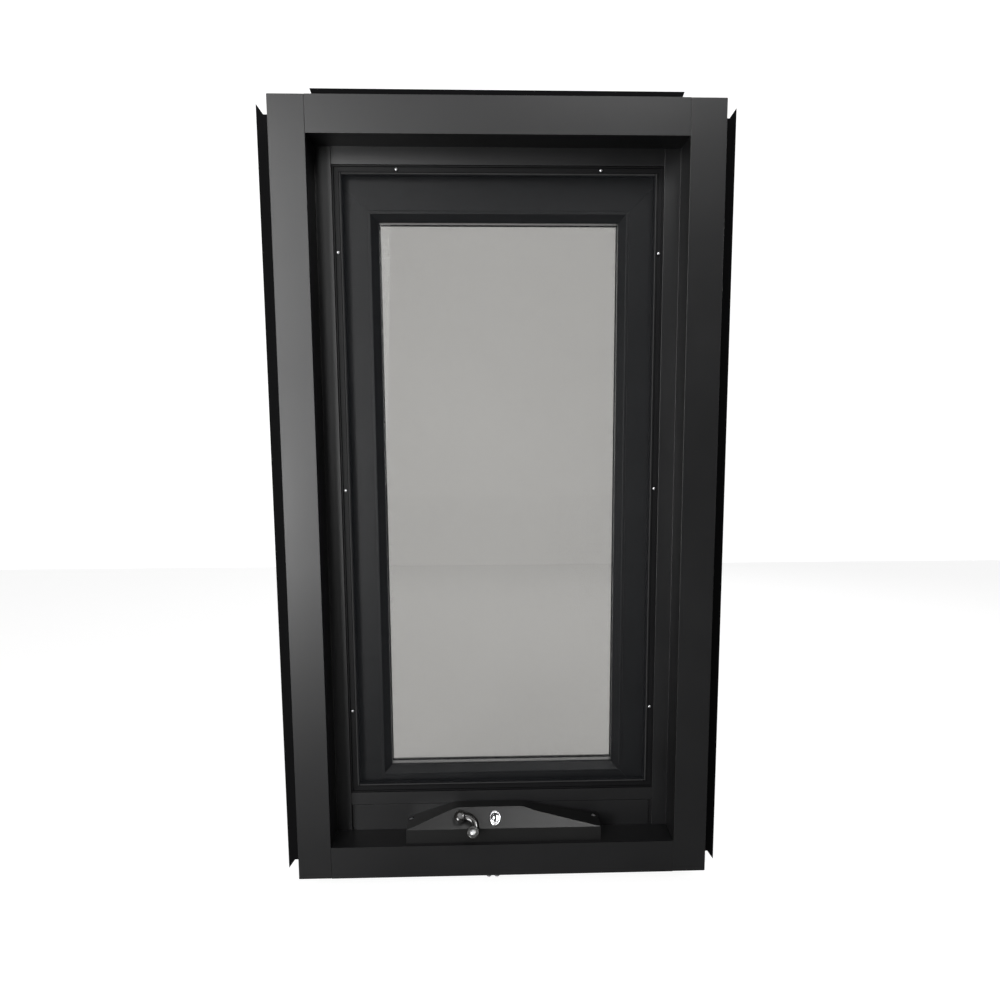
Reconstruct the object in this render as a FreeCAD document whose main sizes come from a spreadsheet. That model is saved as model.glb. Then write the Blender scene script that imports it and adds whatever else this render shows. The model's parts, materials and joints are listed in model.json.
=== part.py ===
# Top hung awning window: a black aluminium frame with nail fins, a hung sash with a sealed
# glass unit, an insect screen and a chain winder on the sill.
# X runs to the right as seen from the room, Y towards the outside and Z up, in millimetres.
# The origin is the middle of the bottom nail fin's bearing face.
import FreeCAD, Part
import Sketcher
import math
import os

doc = FreeCAD.newDocument("AwningWindow")
sheet = doc.addObject("Spreadsheet::Sheet", "Sizes")

driving_sizes = {
    # outer frame
    "frame_width": 600,
    "frame_height": 1085,
    "face_width": 48,
    "room_depth": 60,
    "outside_depth": 45,
    "wall": 2,
    "reveal_depth": 50,
    "band_width": 23,
    "stop_back_depth": 64,
    "lip_width": 5,
    "lip_thickness": 2.7,
    "break_depth": 24,
    # sill upstand and its cover rail
    "upstand_height": 41,
    "sill_band_height": 19,
    "upstand_depth": 54,
    "rail_end_gap": 5,
    "rail_top_gap": 0.6,
    # nail fins
    "fin_width": 30,
    "fin_thickness": 2,
    "side_fin_overhang": 9.5,
    "side_fin_drop": 17.5,
    "side_fin_slope_width": 9.5,
    "side_fin_slope_height": 13.6,
    "end_fin_setback": 43,
    "end_fin_cut": 11,
    "nail_hole_offset": 9,
    "nail_hole_radius": 2.5,
    "side_hole_end": 62.5,
    "side_hole_pitch": 310,
    "end_hole_end": 87,
    # drain slots in the sill's outside wall
    "drain_length": 30,
    "drain_height": 5,
    "drain_end": 120,
    # sash
    "sight_side": 130,
    "sight_top": 141,
    "sight_bottom": 140,
    "sash_bar": 72,
    "bead_width": 14,
    "sash_room_depth": 68,
    "sash_outside_depth": 104,
    "outer_lip": 3,
    "sash_gap": 5,
    "bead_nose": 4,
    "bead_edge": 1.5,
    "bead_wall": 1.6,
    # glass unit
    "glass_depth": 80,
    "pane": 5,
    "cavity": 10,
    "glass_cover": 11,
    "gasket_width": 6,
    "bead_gasket": 2,
    "outer_gasket": 1,
    "spacer_inset": 4,
    "spacer_width": 6,
    "seal_width": 4,
    # insect screen
    "screen_gap": 0.3,
    "screen_bar": 12.5,
    "screen_room_depth": 52,
    "screen_back_depth": 61,
    "screen_wall": 1.2,
    "screen_lip": 1.6,
    "channel_depth": 2.3,
    "land_place": 7.5,
    "land_depth": 1,
    "groove_place": 8.6,
    "groove_width": 2.8,
    "groove_depth": 3,
    "mesh_thickness": 0.6,
    "spline_gap": 0.1,
    "spline_drop": 0.5,
    "pin_radius": 2,
    "pin_height": 3.3,
    "pin_inset": 5.2,
    "top_pin_end": 87.7,
    "side_pin_top": 115.7,
    "side_pin_bottom": 127.7,
    # winder cover on the sill, heights above the sill
    "cover_left": 143,
    "cover_right": 145,
    "cover_front_depth": 8,
    "cover_front_height": 21,
    "cover_height": 44,
    "facet_run": 22,
    "shoulder_left": 70,
    "shoulder_right": 31,
    "knee_right": 47,
    "knee_height": 39.3,
    "shoulder_radius": 60,
    "screw_inset": 5,
    "screw_depth": 41,
    "screw_seat": 19.6,
    "screw_head_radius": 3.6,
    "screw_head_height": 2.2,
    "screw_shank_radius": 2,
    "screw_clearance": 0.1,
    "screw_spot_radius": 4.4,
    "screw_length": 26,
    # crank, knob and lock on the cover's sloped facet
    "hub_place": 63.5,
    "hub_up": 15.4,
    "hub_radius": 9.3,
    "hub_height": 15.2,
    "hub_dome": 5,
    "arm_lift": 9,
    "arm_thickness": 5,
    "arm_width": 12,
    "arm_edge": 1.5,
    "boss_radius": 6.2,
    "arm_across": 19.6,
    "arm_down": 26.7,
    "arm_bulge": 12,
    "spindle_radius": 4,
    "spindle_length": 14,
    "running_gap": 0.05,
    "seat_gap": 0.3,
    "knob_radius": 9.2,
    "knob_base_radius": 6.2,
    "knob_neck": 3,
    "knob_flare": 7.5,
    "knob_edge": 1.2,
    "ring_outside": 7,
    "ring_inside": 6.4,
    "ring_depth": 0.5,
    "recess_radius": 5.2,
    "knob_screw_radius": 4.4,
    "knob_screw_height": 1.6,
    "cross_width": 1.1,
    "cross_depth": 1,
    "knob_height": 13,
    "knob_pin_radius": 3,
    "knob_recess": 2,
    "lock_place": 12,
    "lock_up": 14.6,
    "lock_width": 18.4,
    "lock_length": 23.4,
    "lock_rise": 4,
    "lock_edge": 1.2,
    "plug_radius": 7,
    "plug_depth": 12,
    "key_slot_length": 12,
    "key_slot_width": 2,
    "key_slot_depth": 8,
    # chain, bracket and stays
    "slot_half_width": 17,
    "slot_low": 22,
    "slot_high": 38,
    "chain_half_width": 6,
    "chain_plate": 1.5,
    "chain_height": 9,
    "chain_pin_radius": 2,
    "chain_roller_radius": 3,
    "chain_roller_setback": 3.5,
    "chain_end_depth": 61,
    "bracket_width": 44,
    "bracket_height": 14,
    "bracket_thickness": 3,
    "bracket_drop": 9,
    "lug_thickness": 2.5,
    "lug_gap": 1,
    "stay_track": 2,
    "stay_arm": 2,
    "stay_width": 18,
    "stay_depth": 72,
    "stay_length": 380,
    "stay_drop": 30,
    "stay_rivet_radius": 4,
    # screws under the sill
    "sill_screw_radius": 4.2,
    "sill_screw_height": 3.5,
    "sill_screw_place": 15.6,
    "sill_screw_spread": 5.9,
    "sill_screw_depth": 4.5,
}


class Size:
    # A length that carries its number and the spreadsheet formula that gives it.
    def __init__(self, number, formula):
        self.number = float(number)
        self.formula = formula

    def joined(self, other, sign, number):
        return Size(number, f"({self.formula} {sign} {other.formula})")

    def __add__(self, other):
        other = as_size(other)
        return self.joined(other, "+", self.number + other.number)

    def __radd__(self, other):
        return as_size(other) + self

    def __sub__(self, other):
        other = as_size(other)
        return self.joined(other, "-", self.number - other.number)

    def __rsub__(self, other):
        return as_size(other) - self

    def __mul__(self, other):
        other = as_size(other)
        return self.joined(other, "*", self.number * other.number)

    def __truediv__(self, other):
        other = as_size(other)
        return self.joined(other, "/", self.number / other.number)

    def __neg__(self):
        return as_size(0) - self


def as_size(value):
    return value if isinstance(value, Size) else Size(value, repr(value))


class SizeList:
    # Gives each spreadsheet cell as an attribute, such as size.wall.
    pass


size = SizeList()
for row, (name, value) in enumerate(driving_sizes.items(), start=1):
    cell = f"A{row}"
    sheet.set(cell, str(value))
    sheet.setAlias(cell, name)
    setattr(size, name, Size(value, f"Sizes.{name}"))
doc.recompute()

nothing = as_size(0)
nodes = {}

# Places that several pieces share. Depths are measured from the room face.
half_width = size.frame_width / 2
frame_bottom = size.fin_width / 2
frame_top = frame_bottom + size.frame_height
room_face = -size.room_depth
frame_depth = size.room_depth + size.outside_depth
stop_edge = size.face_width + size.band_width
sill_shelf = frame_bottom + size.face_width
sill_stop = size.face_width + size.upstand_height + size.sill_band_height
sash_side = size.sight_side - size.sash_bar
sash_top = size.sight_top - size.sash_bar
sash_bottom = size.sight_bottom - size.sash_bar
screw_place = size.cover_left - size.screw_inset


def at_depth(depth):
    return room_face + depth


def bind(thing, target, amount):
    amount = as_size(amount)
    thing.setExpression(target, amount.formula)


def place(thing, x, y, z, axis=(0, 1, 0), angle=0):
    x, y, z = as_size(x), as_size(y), as_size(z)
    spot = FreeCAD.Vector(x.number, y.number, z.number)
    thing.Placement = FreeCAD.Placement(spot, FreeCAD.Rotation(FreeCAD.Vector(*axis), angle))
    bind(thing, ".Placement.Base.x", x)
    bind(thing, ".Placement.Base.y", y)
    bind(thing, ".Placement.Base.z", z)


def new_body(name, is_node=True):
    # A body that is only a step towards a sub-part isn't a node.
    body = doc.addObject("PartDesign::Body", name)
    body.Label = name
    if is_node:
        nodes[name] = body
    return body


def new_sketch(body, role):
    sketch = body.newObject("Sketcher::SketchObject", body.Name + "_sketch")
    plane = [p for p in body.Origin.OriginFeatures if p.Role == role][0]
    sketch.AttachmentSupport = [(plane, "")]
    sketch.MapMode = "FlatFace"
    return sketch


def draw_loop(sketch, corners):
    # A closed outline whose corners are held by their distances from the sketch's origin.
    corners = [(as_size(x), as_size(y)) for x, y in corners]
    points = [FreeCAD.Vector(x.number, y.number, 0) for x, y in corners]
    first = sketch.GeometryCount
    for start, end in zip(points, points[1:] + points[:1]):
        sketch.addGeometry(Part.LineSegment(start, end), False)
    for index in range(len(corners)):
        following = first + (index + 1) % len(corners)
        sketch.addConstraint(Sketcher.Constraint("Coincident", first + index, 2, following, 1))
    for index, (x, y) in enumerate(corners):
        for kind, amount in (("DistanceX", x), ("DistanceY", y)):
            held = Sketcher.Constraint(kind, -1, 1, first + index, 1, amount.number)
            number = sketch.addConstraint(held)
            sketch.setExpression(f"Constraints[{number}]", amount.formula)


def draw_circle(sketch, x, y, radius):
    x, y, radius = as_size(x), as_size(y), as_size(radius)
    spot = FreeCAD.Vector(x.number, y.number, 0)
    circle = sketch.addGeometry(Part.Circle(spot, FreeCAD.Vector(0, 0, 1), radius.number), False)
    for kind, amount in (("DistanceX", x), ("DistanceY", y)):
        number = sketch.addConstraint(Sketcher.Constraint(kind, -1, 1, circle, 3, amount.number))
        sketch.setExpression(f"Constraints[{number}]", amount.formula)
    number = sketch.addConstraint(Sketcher.Constraint("Radius", circle, radius.number))
    sketch.setExpression(f"Constraints[{number}]", radius.formula)


def draw_oval(sketch, width, length):
    # An upright oval about the sketch's origin, held by its two axes.
    width, length = as_size(width), as_size(length)
    tip = FreeCAD.Vector(0, length.number / 2, 0)
    side = FreeCAD.Vector(width.number / 2, 0, 0)
    oval = sketch.addGeometry(Part.Ellipse(tip, side, FreeCAD.Vector(0, 0, 0)), False)
    sketch.exposeInternalGeometry(oval)
    sketch.addConstraint(Sketcher.Constraint("Coincident", oval, 3, -1, 1))
    long_axis, short_axis = oval + 1, oval + 2
    sketch.addConstraint(Sketcher.Constraint("Vertical", long_axis))
    for axis, amount in ((long_axis, length), (short_axis, width)):
        number = sketch.addConstraint(Sketcher.Constraint("Distance", axis, amount.number))
        sketch.setExpression(f"Constraints[{number}]", amount.formula)


def box_loop(left, low, right, high):
    return [(left, low), (right, low), (right, high), (left, high)]


def pad(body, sketch, length, reversed_pad=False):
    feature = body.newObject("PartDesign::Pad", body.Name + "_pad")
    feature.Profile = sketch
    feature.Reversed = reversed_pad
    bind(feature, "Length", length)
    sketch.Visibility = False
    return feature


def pocket_through(body, sketch):
    # Cuts through the whole piece on both sides of the sketch.
    feature = body.newObject("PartDesign::Pocket", body.Name + "_pocket")
    feature.Profile = sketch
    feature.Type = "ThroughAll"
    feature.SideType = "Symmetric"
    sketch.Visibility = False
    return feature


def dress_edges(body, solid, kind, amount, chosen):
    # Rounds or chamfers the edges of a body's solid that the test picks.
    doc.recompute()
    picked = [f"Edge{index}" for index, edge in enumerate(solid.Shape.Edges, start=1) if chosen(edge)]
    feature = body.newObject("PartDesign::" + kind, body.Name + "_edges")
    feature.Base = (solid, picked)
    bind(feature, "Radius" if kind == "Fillet" else "Size", amount)


def extrusion(name, outline, chambers, length, is_node=True):
    # A hollow bar along Z: X runs inwards from its outer edge and Y is the depth.
    body = new_body(name, is_node)
    section = new_sketch(body, "XY_Plane")
    draw_loop(section, outline)
    for chamber in chambers:
        draw_loop(section, chamber)
    pad(body, section, length)
    return body


def mitre_ends(body, width, length):
    reach = width + 1
    cut = new_sketch(body, "XZ_Plane")
    draw_loop(cut, [(nothing, nothing), (reach, nothing), (reach, reach)])
    draw_loop(cut, [(nothing, length), (reach, length), (reach, length - reach)])
    pocket_through(body, cut)


def ring_sides(left, right, low, high):
    # For each side of an upright rectangle: its bar's start, turn about Y, and length.
    return {
        "left": ((left, low), 0, high - low),
        "top": ((left, high), 90, right - left),
        "right": ((right, high), 180, high - low),
        "bottom": ((right, low), 270, right - left),
    }


def box(name, x, y, z, length, width, height):
    solid = doc.addObject("Part::Box", name)
    bind(solid, "Length", length)
    bind(solid, "Width", width)
    bind(solid, "Height", height)
    place(solid, x, y, z)
    return solid


def cylinder(name, radius, height, x, y, z, axis=(0, 1, 0), angle=0):
    solid = doc.addObject("Part::Cylinder", name)
    bind(solid, "Radius", radius)
    bind(solid, "Height", height)
    place(solid, x, y, z, axis, angle)
    return solid


def along_depth(name, radius, height, x, y, z):
    # A cylinder whose axis runs outwards along +Y.
    return cylinder(name, radius, height, x, y, z, (1, 0, 0), -90)


def along_width(name, radius, height, x, y, z):
    # A cylinder whose axis runs to the right along +X.
    return cylinder(name, radius, height, x, y, z, (0, 1, 0), 90)


def small_head(name, radius, height):
    # The head of a pin or screw that is too small to need a true circle: twelve sides.
    head = doc.addObject("Part::Prism", name)
    head.Polygon = 12
    bind(head, "Circumradius", radius)
    bind(head, "Height", height)
    return head


def group(name, solids):
    # Separate solids that share one node.
    compound = doc.addObject("Part::Compound", name)
    compound.Links = solids
    compound.Label = name
    nodes[name] = compound
    return compound


def fuse(name, solids):
    joined = doc.addObject("Part::MultiFuse", name)
    joined.Shapes = solids
    joined.Label = name
    return joined


def cut(name, base, tool):
    remaining = doc.addObject("Part::Cut", name)
    remaining.Base = base
    remaining.Tool = tool
    remaining.Label = name
    return remaining


def bars(name, left, right, low, high, width, depth, thickness, gap):
    # Four straight bars just inside an upright rectangle, clear of each other by the gap.
    across = right - left - width * 2 - gap * 2
    return group(name, [
        box(name + "_left", left, depth, low, width, thickness, high - low),
        box(name + "_right", right - width, depth, low, width, thickness, high - low),
        box(name + "_low", left + width + gap, depth, low, across, thickness, width),
        box(name + "_high", left + width + gap, depth, high - width, across, thickness, width),
    ])


def member_section(leg):
    # The section of a jamb or the head: face and room chamber, screen stop and outer leg.
    outline = [
        (nothing, nothing),
        (size.face_width, nothing),
        (size.face_width, size.reveal_depth),
        (stop_edge, size.reveal_depth),
        (stop_edge, size.stop_back_depth - size.lip_thickness),
        (stop_edge + size.lip_width, size.stop_back_depth - size.lip_thickness),
        (stop_edge + size.lip_width, size.stop_back_depth),
        (leg, size.stop_back_depth),
        (leg, frame_depth),
        (nothing, frame_depth),
    ]
    wall = size.wall
    middle = size.reveal_depth + wall
    chambers = [
        box_loop(wall, wall, size.face_width - wall, size.break_depth),
        box_loop(wall, size.break_depth + wall, size.face_width - wall, size.reveal_depth),
        box_loop(wall, middle, stop_edge - wall, size.stop_back_depth - wall),
        box_loop(wall, size.stop_back_depth + wall, leg - wall, frame_depth - wall),
    ]
    return outline, chambers


def sill_section(leg):
    # As the other members, with an upstand behind the winder rail that ends in the band.
    low_band = size.face_width + size.upstand_height
    outline = [
        (nothing, nothing),
        (size.face_width, nothing),
        (size.face_width, size.upstand_depth),
        (low_band, size.upstand_depth),
        (low_band, size.reveal_depth),
        (sill_stop, size.reveal_depth),
        (sill_stop, size.stop_back_depth - size.lip_thickness),
        (sill_stop + size.lip_width, size.stop_back_depth - size.lip_thickness),
        (sill_stop + size.lip_width, size.stop_back_depth),
        (leg, size.stop_back_depth),
        (leg, frame_depth),
        (nothing, frame_depth),
    ]
    wall = size.wall
    back = size.stop_back_depth - wall
    chambers = [
        box_loop(wall, wall, size.face_width - wall, size.break_depth),
        box_loop(wall, size.break_depth + wall, size.face_width - wall, size.upstand_depth),
        box_loop(wall, size.upstand_depth + wall, size.face_width, back),
        [
            (size.face_width + wall, size.upstand_depth + wall),
            (low_band + wall, size.upstand_depth + wall),
            (low_band + wall, size.reveal_depth + wall),
            (sill_stop - wall, size.reveal_depth + wall),
            (sill_stop - wall, back),
            (size.face_width + wall, back),
        ],
        box_loop(wall, size.stop_back_depth + wall, leg - wall, frame_depth - wall),
    ]
    return outline, chambers


def cope_ends(body, length):
    # Head and sill end at the jambs, and are cut back round each jamb's stop and leg.
    leg = sash_side - size.sash_gap
    reach = size.band_width
    lip = reach + size.lip_width
    lip_depth = size.stop_back_depth - size.lip_thickness
    leg_reach = leg - size.face_width

    def notch(place_at):
        return [
            (size.reveal_depth, place_at(nothing)),
            (frame_depth, place_at(nothing)),
            (frame_depth, place_at(leg_reach)),
            (size.stop_back_depth, place_at(leg_reach)),
            (size.stop_back_depth, place_at(lip)),
            (lip_depth, place_at(lip)),
            (lip_depth, place_at(reach)),
            (size.reveal_depth, place_at(reach)),
        ]

    cope = new_sketch(body, "YZ_Plane")
    draw_loop(cope, notch(lambda distance: distance))
    draw_loop(cope, notch(lambda distance: length - distance))
    pocket_through(body, cope)


def make_frame():
    leg = sash_side - size.sash_gap
    outline, chambers = member_section(leg)
    across = size.frame_width - size.face_width * 2
    left = extrusion("left_jamb", outline, chambers, size.frame_height)
    place(left, -half_width, room_face, frame_bottom)
    right = extrusion("right_jamb", outline, chambers, size.frame_height)
    place(right, half_width, room_face, frame_top, angle=180)
    outline, chambers = member_section(sash_top - size.sash_gap)
    head = extrusion("head", outline, chambers, across)
    cope_ends(head, across)
    place(head, size.face_width - half_width, room_face, frame_top, angle=90)
    outline, chambers = sill_section(sash_bottom - size.sash_gap)
    sill = extrusion("sill_bar", outline, chambers, across, is_node=False)
    cope_ends(sill, across)
    slot = new_sketch(sill, "XZ_Plane")
    middle = across / 2
    draw_loop(slot, box_loop(
        size.face_width + size.slot_low, middle - size.slot_half_width,
        size.face_width + size.slot_high, middle + size.slot_half_width))
    pocket_through(sill, slot)
    place(sill, half_width - size.face_width, room_face, frame_bottom, angle=270)
    holes = []
    hole_radius = size.screw_shank_radius + size.screw_clearance
    drain_place = half_width - size.drain_end
    for index, sign in enumerate((-1, 1)):
        holes.append(cylinder(f"sill_hole_{index}", hole_radius, size.wall * 2, screw_place * sign,
                              at_depth(size.screw_depth), sill_shelf - size.wall * 1.5))
        holes.append(box(f"sill_drain_{index}", drain_place * sign - size.drain_length / 2,
                         at_depth(frame_depth) - size.wall * 1.5, frame_bottom + size.wall,
                         size.drain_length, size.wall * 2, size.drain_height))
    nodes["sill"] = cut("sill", sill, fuse("sill_holes", holes))


def make_winder_rail():
    # A channel that covers the upstand between the jambs' stops.
    rail = new_body("winder_rail")
    length = size.frame_width - (stop_edge + size.rail_end_gap) * 2
    depth = size.upstand_depth - size.reveal_depth
    high = size.upstand_height - size.rail_top_gap
    section = new_sketch(rail, "XY_Plane")
    draw_loop(section, [
        (nothing, nothing),
        (high, nothing),
        (high, depth),
        (high - size.wall, depth),
        (high - size.wall, size.wall),
        (size.wall, size.wall),
        (size.wall, depth),
        (nothing, depth),
    ])
    pad(rail, section, length)
    holes = new_sketch(rail, "XZ_Plane")
    middle = length / 2
    draw_loop(holes, box_loop(
        size.slot_low, middle - size.slot_half_width,
        size.slot_high, middle + size.slot_half_width))
    pocket_through(rail, holes)
    place(rail, length / 2, at_depth(size.reveal_depth), sill_shelf, angle=270)


def make_fin(name, length, end_cut, hole_places):
    # A flat strip along Z that stands out from the frame along -X. Each end runs from its
    # outer tip along the corners of the cut to the frame.
    fin = new_body(name)
    outline = new_sketch(fin, "XZ_Plane")
    far_end = [(x, length - z) for x, z in reversed(end_cut)]
    draw_loop(outline, [(-size.fin_width, nothing), *end_cut, *far_end, (-size.fin_width, length)])
    pad(fin, outline, size.fin_thickness, reversed_pad=True)
    holes = new_sketch(fin, "XZ_Plane")
    for hole_place in hole_places:
        draw_circle(holes, -size.nail_hole_offset, hole_place, size.nail_hole_radius)
    pocket_through(fin, holes)
    return fin


def make_fins():
    side_length = size.frame_height + size.side_fin_drop + size.side_fin_overhang
    slope = size.side_fin_slope_height
    side_cut = [(size.side_fin_slope_width - size.fin_width, slope), (nothing, slope)]
    outer = size.side_hole_end
    inner = size.side_hole_end + size.side_hole_pitch
    places = [outer, inner, size.frame_height - inner, size.frame_height - outer]
    left = make_fin("left_nail_fin", side_length, side_cut, [size.side_fin_drop + p for p in places])
    place(left, -half_width, nothing, frame_bottom - size.side_fin_drop)
    right = make_fin("right_nail_fin", side_length, side_cut, [size.side_fin_overhang + p for p in places])
    place(right, half_width, nothing, frame_top + size.side_fin_overhang, angle=180)
    end_length = size.frame_width - size.end_fin_setback * 2
    end_cut = [(nothing, size.end_fin_cut)]
    places = [size.end_hole_end, end_length - size.end_hole_end]
    head_fin = make_fin("top_nail_fin", end_length, end_cut, places)
    place(head_fin, size.end_fin_setback - half_width, nothing, frame_top, angle=90)
    sill_fin = make_fin("bottom_nail_fin", end_length, end_cut, places)
    place(sill_fin, half_width - size.end_fin_setback, nothing, frame_bottom, angle=270)


def make_screen():
    gap = size.screen_gap
    left = stop_edge + gap - half_width
    right = -left
    low = frame_bottom + sill_stop + gap
    high = frame_top - stop_edge - gap
    depth = size.screen_back_depth - size.screen_room_depth
    wall = size.screen_wall
    groove_end = size.groove_place + size.groove_width
    groove_floor = size.land_depth + size.groove_depth
    # From the outer lip over the pins' channel to the land with the spline groove.
    outline = [
        (nothing, nothing),
        (size.screen_lip, nothing),
        (size.screen_lip, size.channel_depth),
        (size.land_place, size.channel_depth),
        (size.land_place, size.land_depth),
        (size.groove_place, size.land_depth),
        (size.groove_place, groove_floor),
        (groove_end, groove_floor),
        (groove_end, size.land_depth),
        (size.screen_bar, size.land_depth),
        (size.screen_bar, depth),
        (nothing, depth),
    ]
    chamber = [
        (wall, size.channel_depth + wall),
        (size.groove_place - wall, size.channel_depth + wall),
        (size.groove_place - wall, groove_floor + wall),
        (size.screen_bar - wall, groove_floor + wall),
        (size.screen_bar - wall, depth - wall),
        (wall, depth - wall),
    ]
    for side, ((x, z), turn, length) in ring_sides(left, right, low, high).items():
        bar = extrusion("screen_frame_" + side, outline, [chamber], length)
        mitre_ends(bar, size.screen_bar, length)
        place(bar, x, at_depth(size.screen_room_depth), z, angle=turn)
    land = at_depth(size.screen_room_depth + size.land_depth)
    mesh = box("insect_mesh", left + groove_end, land - size.mesh_thickness, low + groove_end,
               right - left - groove_end * 2, size.mesh_thickness, high - low - groove_end * 2)
    nodes["insect_mesh"] = mesh
    spare = size.spline_gap
    inset = size.groove_place + spare
    bars("screen_spline", left + inset, right - inset, low + inset, high - inset,
         size.groove_width - spare * 2, land + size.spline_drop, size.groove_depth - size.spline_drop, gap)
    make_screen_pins(left, right, low, high)


def make_screen_pins(left, right, low, high):
    # Plungers that stand in the channel: two at the top and three on each side.
    inset = size.pin_inset
    places = [(left + size.top_pin_end, high - inset), (right - size.top_pin_end, high - inset)]
    upper = high - size.side_pin_top
    lower = low + size.side_pin_bottom
    for x in (left + inset, right - inset):
        places += [(x, lower), (x, (lower + upper) / 2), (x, upper)]
    floor = at_depth(size.screen_room_depth + size.channel_depth)
    pins = []
    for index, (x, z) in enumerate(places):
        pin = small_head(f"screen_pin_{index}", size.pin_radius, size.pin_height)
        place(pin, x, floor - size.pin_height, z, (1, 0, 0), -90)
        pins.append(pin)
    group("screen_pins", pins)


def make_sash():
    left = sash_side - half_width
    right = -left
    low = frame_bottom + sash_bottom
    high = frame_top - sash_top
    depth = size.sash_outside_depth - size.sash_room_depth
    box_width = size.sash_bar - size.bead_width
    wall = size.wall
    middle = depth / 2
    outline = [
        (nothing, nothing),
        (box_width, nothing),
        (box_width, depth - size.outer_lip),
        (size.sash_bar, depth - size.outer_lip),
        (size.sash_bar, depth),
        (nothing, depth),
    ]
    chambers = [
        box_loop(wall, wall, box_width - wall, middle - wall / 2),
        box_loop(wall, middle + wall / 2, box_width - wall, depth - wall),
    ]
    names = {"left": "sash_left_stile", "right": "sash_right_stile",
             "top": "sash_top_rail", "bottom": "sash_bottom_rail"}
    for side, ((x, z), turn, length) in ring_sides(left, right, low, high).items():
        bar = extrusion(names[side], outline, chambers, length)
        mitre_ends(bar, size.sash_bar, length)
        place(bar, x, at_depth(size.sash_room_depth), z, angle=turn)
    make_beads(left + box_width, right - box_width, low + box_width, high - box_width)
    make_glass(left + size.sash_bar, right - size.sash_bar, low + size.sash_bar, high - size.sash_bar)
    seal_left = stop_edge + size.lip_width - size.seal_width - half_width
    seal_low = frame_bottom + sill_stop + size.lip_width - size.seal_width
    seal_high = frame_top - stop_edge - size.lip_width + size.seal_width
    bars("sash_seal", seal_left, -seal_left, seal_low, seal_high, size.seal_width,
         at_depth(size.stop_back_depth), size.sash_room_depth - size.stop_back_depth, size.seat_gap)


def make_beads(left, right, low, high):
    depth = size.glass_depth - size.bead_gasket - size.sash_room_depth
    wall = size.bead_wall
    outline = [
        (nothing, nothing),
        (size.bead_nose, nothing),
        (size.bead_width, depth - size.bead_edge),
        (size.bead_width, depth),
        (nothing, depth),
    ]
    chamber = [
        (wall, wall),
        (size.bead_nose - wall / 2, wall),
        (size.bead_width - wall * 2, depth - wall),
        (wall, depth - wall),
    ]
    for side, ((x, z), turn, length) in ring_sides(left, right, low, high).items():
        bead = extrusion("bead_" + side, outline, [chamber], length)
        mitre_ends(bead, size.bead_width, length)
        place(bead, x, at_depth(size.sash_room_depth), z, angle=turn)


def make_glass(left, right, low, high):
    # Two panes with a spacer between them, held by gaskets along the sight line.
    cover = size.glass_cover
    depth = at_depth(size.glass_depth)
    width = right - left + cover * 2
    height = high - low + cover * 2
    nodes["inner_glass"] = box("inner_glass", left - cover, depth, low - cover, width, size.pane, height)
    outer = depth + size.pane + size.cavity
    nodes["outer_glass"] = box("outer_glass", left - cover, outer, low - cover, width, size.pane, height)
    inset = cover - size.spacer_inset
    bars("glass_spacer", left - inset, right + inset, low - inset, high + inset,
         size.spacer_width, depth + size.pane, size.cavity, nothing)
    strip = size.gasket_width
    bars("bead_gasket", left - strip, right + strip, low - strip, high + strip, strip,
         depth - size.bead_gasket, size.bead_gasket, size.seat_gap)
    bars("outer_gasket", left - strip, right + strip, low - strip, high + strip, strip,
         outer + size.pane, size.outer_gasket, size.seat_gap)


facet_rise = size.cover_height - size.cover_front_height
facet_angle = math.degrees(math.atan2(facet_rise.number, size.facet_run.number))


def on_facet(across, up, out=nothing):
    # The placement of a thing on the cover's facet: Z out of the facet and Y up its slope.
    turn = FreeCAD.Rotation(FreeCAD.Vector(1, 0, 0), facet_angle)
    corner = FreeCAD.Vector(0, at_depth(size.cover_front_depth).number,
                            (sill_shelf + size.cover_front_height).number)
    across, up, out = as_size(across), as_size(up), as_size(out)
    step = FreeCAD.Vector(across.number, up.number, out.number)
    return FreeCAD.Placement(corner + turn.multVec(step), turn)


def facet_cylinder(name, radius, low, high, across, up):
    # A round piece that stands on the facet's normal, from one height to another.
    solid = doc.addObject("Part::Cylinder", name)
    bind(solid, "Radius", radius)
    bind(solid, "Height", as_size(high) - as_size(low))
    solid.Placement = on_facet(across, up, low)
    return solid


def domed_post(name, radius, low, high, dome, steps, across, up):
    # A round post on the facet's normal. The profile of its dome is a quarter circle in steps.
    post = new_body(name, is_node=False)
    profile = new_sketch(post, "XZ_Plane")
    height = high - low
    corners = [(nothing, nothing), (radius, nothing)]
    for step in range(steps + 1):
        angle = math.radians(90 * step / steps)
        corners.append((radius - dome + dome * math.cos(angle), height - dome + dome * math.sin(angle)))
    draw_loop(profile, [*corners, (nothing, height)])
    spin = post.newObject("PartDesign::Revolution", name + "_spin")
    spin.Profile = profile
    spin.ReferenceAxis = (profile, ["V_Axis"])
    spin.Angle = 360
    post.Placement = on_facet(across, up, low)
    return post


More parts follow.
